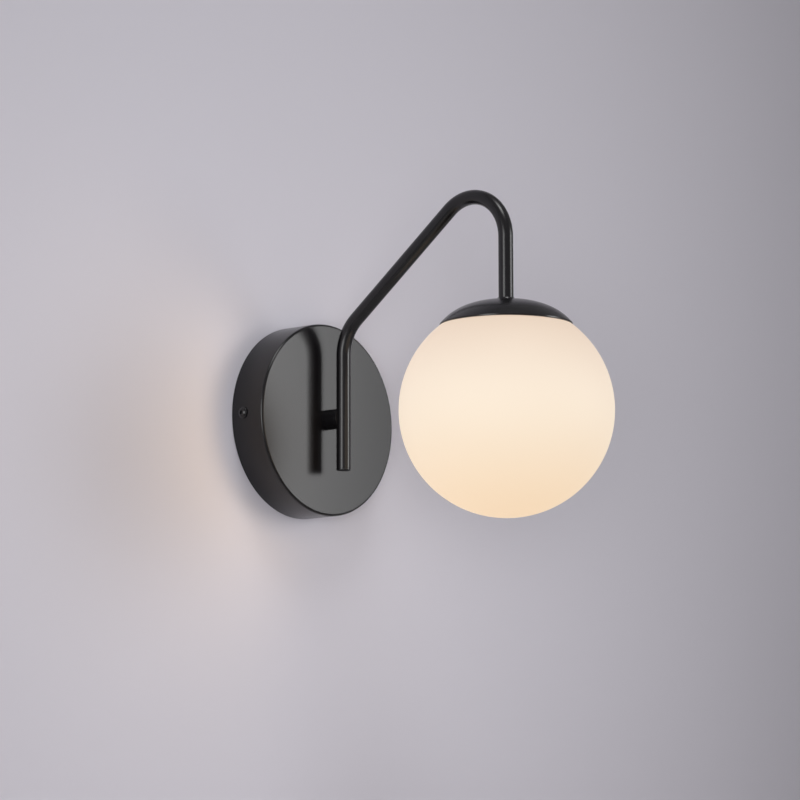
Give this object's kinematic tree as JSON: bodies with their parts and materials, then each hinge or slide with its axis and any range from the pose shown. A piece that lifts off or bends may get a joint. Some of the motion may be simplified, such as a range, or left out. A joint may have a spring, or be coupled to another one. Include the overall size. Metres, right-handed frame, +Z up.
{
  "type": "globe wall sconce",
  "caption": "Wall light with a round drum canopy, a bent tube arm that rises and turns down, and an opal glass globe screwed under a domed cap.",
  "frame": {"origin": "middle of the wall fixing, on the wall, behind the centre of the canopy", "axes": "+Z up, +Y into the wall, +X along the wall to the right of a person who faces it"},
  "size_m": [0.144, 0.2615, 0.2249],
  "materials": {
    "black_powder_coat": "satin black powder coat on steel",
    "zinc_steel": "bright zinc plate",
    "brass": "plain turned brass",
    "opal_glass": "three-layer opal glass, smooth outside",
    "silicone": "moulded translucent silicone",
    "ceramic": "unglazed white steatite",
    "polyamide": "moulded natural polyamide",
    "black_polyamide": "moulded black polyamide",
    "bulb_plastic": "moulded white polycarbonate",
    "bulb_diffuser": "frosted polycarbonate",
    "led_board": "white board with phosphor chips",
    "nickel_wire": "drawn nickel wire",
    "brown_insulation": "silicone insulation",
    "blue_insulation": "silicone insulation",
    "earth_insulation": "PVC insulation, green with yellow"
  },
  "bodies": {
    "fixture": {"canopy": "black_powder_coat", "canopy_screws": "black_powder_coat", "mounting_bracket": "zinc_steel", "earth_lug": "brass", "earth_screw": "zinc_steel", "terminal_block": "polyamide", "clamp_screws": "brass", "block_screw": "zinc_steel", "stub_nipple": "brass", "nipple_bush": "black_polyamide", "nipple_washer": "zinc_steel", "nipple_nut": "zinc_steel", "stub_sleeve": "black_powder_coat", "saddle_ferrule": "black_powder_coat", "arm_tube": "black_powder_coat", "tube_end_plug": "black_powder_coat", "cap_collar": "black_powder_coat", "shade_cap": "black_powder_coat", "cap_washer": "zinc_steel", "cap_nut": "zinc_steel", "gallery_spacer": "zinc_steel", "gallery_ring": "zinc_steel", "holder_washer": "zinc_steel", "holder_nut": "zinc_steel", "holder_stirrup": "zinc_steel", "holder_body": "ceramic", "holder_contacts": "brass", "holder_screws": "zinc_steel", "live_wire": "brown_insulation", "neutral_wire": "blue_insulation", "earth_wire": "earth_insulation"},
    "gasket": {"globe_gasket": "silicone"},
    "globe": {"glass_globe": "opal_glass"},
    "bulb": {"bulb_base": "bulb_plastic", "bulb_pins": "nickel_wire", "bulb_cover": "bulb_diffuser", "led_core": "led_board"}
  },
  "joints": [
    {"name": "globe_drop", "type": "slide", "parent": "fixture", "child": "gasket", "axis": [0, 0, -1], "range_m": [0, 0.0061]},
    {"name": "globe_turn", "type": "hinge", "parent": "gasket", "child": "globe", "pos_m": [0, -0.1895, -0.008], "axis": [0, 0, -1], "range_deg": [0, 540]},
    {"name": "bulb_pull", "type": "slide", "parent": "fixture", "child": "bulb", "axis": [0, 0, -1], "range_m": [0, 0.012]}
  ],
  "couplings": [
    {"joint": "globe_drop", "follows": "globe_turn", "m_per_rad": 0.00063662}
  ]
}
